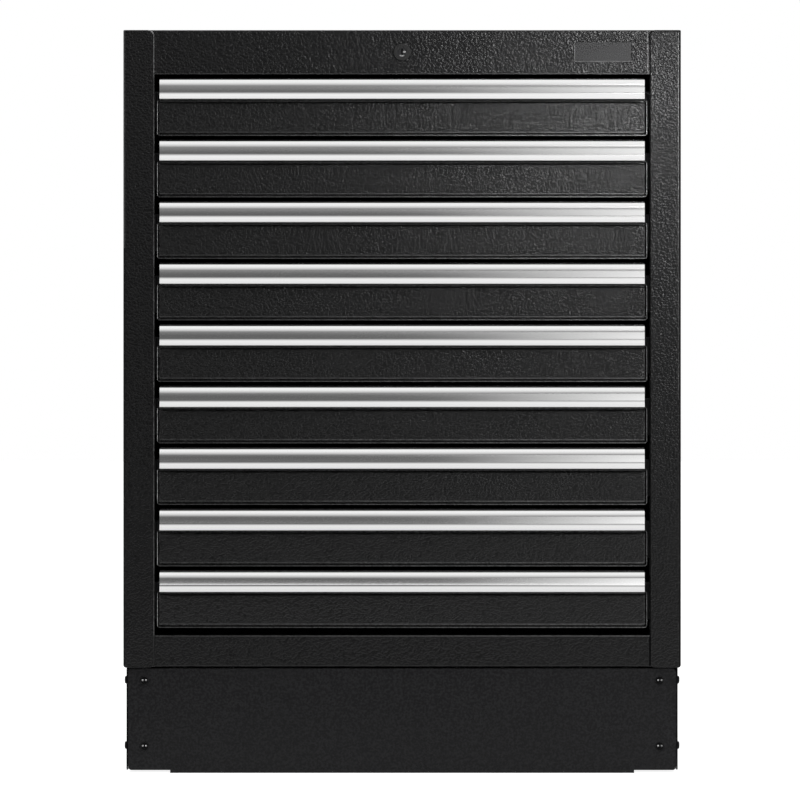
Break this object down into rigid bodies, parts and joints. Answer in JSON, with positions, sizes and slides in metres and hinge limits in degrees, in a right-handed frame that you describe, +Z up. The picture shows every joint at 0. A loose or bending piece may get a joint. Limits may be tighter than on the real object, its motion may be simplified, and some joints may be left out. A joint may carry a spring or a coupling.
{
  "type": "multi-drawer cabinet",
  "caption": "Floor-standing steel tool cabinet with a stack of shallow full-extension drawers, aluminium pull handles, a central lock and a screwed plinth.",
  "frame": {"origin": "on the floor, under the middle of the overall width and depth", "axes": "+Z up, drawers open towards -Y, +X to the right seen from the front"},
  "size_m": [0.68, 0.458, 0.906],
  "materials": {
    "black_coat": "pebbled black powder coat",
    "handle_aluminium": "satin anodised",
    "slide_steel": "black zinc plated",
    "lock_black": "satin black die casting",
    "badge_grey": "bare satin plate",
    "lock_steel": "plated steel",
    "screw_black": "black zinc"
  },
  "bodies": {
    "cabinet": {"left_side_panel": "black_coat", "right_side_panel": "black_coat", "top_panel": "black_coat", "bottom_panel": "black_coat", "back_panel": "black_coat", "slide_uprights": "black_coat", "cabinet_rails": "slide_steel", "lock_barrel": "lock_black", "badge_plate": "badge_grey", "plinth_front_and_back": "black_coat", "plinth_sides": "black_coat", "plinth_brackets": "black_coat", "plinth_screws": "screw_black"},
    "drawer_1": {"drawer_1_box": "black_coat", "drawer_1_front": "black_coat", "drawer_1_handle": "handle_aluminium", "drawer_1_drawer_rails": "slide_steel"},
    "drawer_1_middle_slide": {"drawer_1_middle_rails": "slide_steel"},
    "drawer_2": {"drawer_2_box": "black_coat", "drawer_2_front": "black_coat", "drawer_2_handle": "handle_aluminium", "drawer_2_drawer_rails": "slide_steel"},
    "drawer_2_middle_slide": {"drawer_2_middle_rails": "slide_steel"},
    "drawer_3": {"drawer_3_box": "black_coat", "drawer_3_front": "black_coat", "drawer_3_handle": "handle_aluminium", "drawer_3_drawer_rails": "slide_steel"},
    "drawer_3_middle_slide": {"drawer_3_middle_rails": "slide_steel"},
    "drawer_4": {"drawer_4_box": "black_coat", "drawer_4_front": "black_coat", "drawer_4_handle": "handle_aluminium", "drawer_4_drawer_rails": "slide_steel"},
    "drawer_4_middle_slide": {"drawer_4_middle_rails": "slide_steel"},
    "drawer_5": {"drawer_5_box": "black_coat", "drawer_5_front": "black_coat", "drawer_5_handle": "handle_aluminium", "drawer_5_drawer_rails": "slide_steel"},
    "drawer_5_middle_slide": {"drawer_5_middle_rails": "slide_steel"},
    "drawer_6": {"drawer_6_box": "black_coat", "drawer_6_front": "black_coat", "drawer_6_handle": "handle_aluminium", "drawer_6_drawer_rails": "slide_steel"},
    "drawer_6_middle_slide": {"drawer_6_middle_rails": "slide_steel"},
    "drawer_7": {"drawer_7_box": "black_coat", "drawer_7_front": "black_coat", "drawer_7_handle": "handle_aluminium", "drawer_7_drawer_rails": "slide_steel"},
    "drawer_7_middle_slide": {"drawer_7_middle_rails": "slide_steel"},
    "drawer_8": {"drawer_8_box": "black_coat", "drawer_8_front": "black_coat", "drawer_8_handle": "handle_aluminium", "drawer_8_drawer_rails": "slide_steel"},
    "drawer_8_middle_slide": {"drawer_8_middle_rails": "slide_steel"},
    "drawer_9": {"drawer_9_box": "black_coat", "drawer_9_front": "black_coat", "drawer_9_handle": "handle_aluminium", "drawer_9_drawer_rails": "slide_steel"},
    "drawer_9_middle_slide": {"drawer_9_middle_rails": "slide_steel"},
    "lock_turning": {"lock_spindle": "lock_steel"},
    "lock_sliding": {"lock_bar": "slide_steel"}
  },
  "joints": [
    {"name": "drawer_1_pull", "type": "slide", "parent": "cabinet", "child": "drawer_1", "axis": [0, -1, 0], "range_m": [0, 0.385]},
    {"name": "drawer_1_middle_travel", "type": "slide", "parent": "cabinet", "child": "drawer_1_middle_slide", "axis": [0, -1, 0], "range_m": [0, 0.1925]},
    {"name": "drawer_2_pull", "type": "slide", "parent": "cabinet", "child": "drawer_2", "axis": [0, -1, 0], "range_m": [0, 0.385]},
    {"name": "drawer_2_middle_travel", "type": "slide", "parent": "cabinet", "child": "drawer_2_middle_slide", "axis": [0, -1, 0], "range_m": [0, 0.1925]},
    {"name": "drawer_3_pull", "type": "slide", "parent": "cabinet", "child": "drawer_3", "axis": [0, -1, 0], "range_m": [0, 0.385]},
    {"name": "drawer_3_middle_travel", "type": "slide", "parent": "cabinet", "child": "drawer_3_middle_slide", "axis": [0, -1, 0], "range_m": [0, 0.1925]},
    {"name": "drawer_4_pull", "type": "slide", "parent": "cabinet", "child": "drawer_4", "axis": [0, -1, 0], "range_m": [0, 0.385]},
    {"name": "drawer_4_middle_travel", "type": "slide", "parent": "cabinet", "child": "drawer_4_middle_slide", "axis": [0, -1, 0], "range_m": [0, 0.1925]},
    {"name": "drawer_5_pull", "type": "slide", "parent": "cabinet", "child": "drawer_5", "axis": [0, -1, 0], "range_m": [0, 0.385]},
    {"name": "drawer_5_middle_travel", "type": "slide", "parent": "cabinet", "child": "drawer_5_middle_slide", "axis": [0, -1, 0], "range_m": [0, 0.1925]},
    {"name": "drawer_6_pull", "type": "slide", "parent": "cabinet", "child": "drawer_6", "axis": [0, -1, 0], "range_m": [0, 0.385]},
    {"name": "drawer_6_middle_travel", "type": "slide", "parent": "cabinet", "child": "drawer_6_middle_slide", "axis": [0, -1, 0], "range_m": [0, 0.1925]},
    {"name": "drawer_7_pull", "type": "slide", "parent": "cabinet", "child": "drawer_7", "axis": [0, -1, 0], "range_m": [0, 0.385]},
    {"name": "drawer_7_middle_travel", "type": "slide", "parent": "cabinet", "child": "drawer_7_middle_slide", "axis": [0, -1, 0], "range_m": [0, 0.1925]},
    {"name": "drawer_8_pull", "type": "slide", "parent": "cabinet", "child": "drawer_8", "axis": [0, -1, 0], "range_m": [0, 0.385]},
    {"name": "drawer_8_middle_travel", "type": "slide", "parent": "cabinet", "child": "drawer_8_middle_slide", "axis": [0, -1, 0], "range_m": [0, 0.1925]},
    {"name": "drawer_9_pull", "type": "slide", "parent": "cabinet", "child": "drawer_9", "axis": [0, -1, 0], "range_m": [0, 0.385]},
    {"name": "drawer_9_middle_travel", "type": "slide", "parent": "cabinet", "child": "drawer_9_middle_slide", "axis": [0, -1, 0], "range_m": [0, 0.1925]},
    {"name": "lock_turn", "type": "hinge", "parent": "cabinet", "child": "lock_turning", "pos_m": [0, -0.2, 0.879], "axis": [0, 1, 0], "range_deg": [0, 90]},
    {"name": "lock_bar_lift", "type": "slide", "parent": "cabinet", "child": "lock_sliding", "axis": [0, 0, 1], "range_m": [0, 0.01]}
  ],
  "couplings": [
    {"joint": "drawer_1_middle_travel", "follows": "drawer_1_pull", "ratio": 0.5},
    {"joint": "drawer_2_middle_travel", "follows": "drawer_2_pull", "ratio": 0.5},
    {"joint": "drawer_3_middle_travel", "follows": "drawer_3_pull", "ratio": 0.5},
    {"joint": "drawer_4_middle_travel", "follows": "drawer_4_pull", "ratio": 0.5},
    {"joint": "drawer_5_middle_travel", "follows": "drawer_5_pull", "ratio": 0.5},
    {"joint": "drawer_6_middle_travel", "follows": "drawer_6_pull", "ratio": 0.5},
    {"joint": "drawer_7_middle_travel", "follows": "drawer_7_pull", "ratio": 0.5},
    {"joint": "drawer_8_middle_travel", "follows": "drawer_8_pull", "ratio": 0.5},
    {"joint": "drawer_9_middle_travel", "follows": "drawer_9_pull", "ratio": 0.5},
    {"joint": "lock_turn", "follows": "lock_bar_lift", "rad_per_m": 157.08}
  ]
}
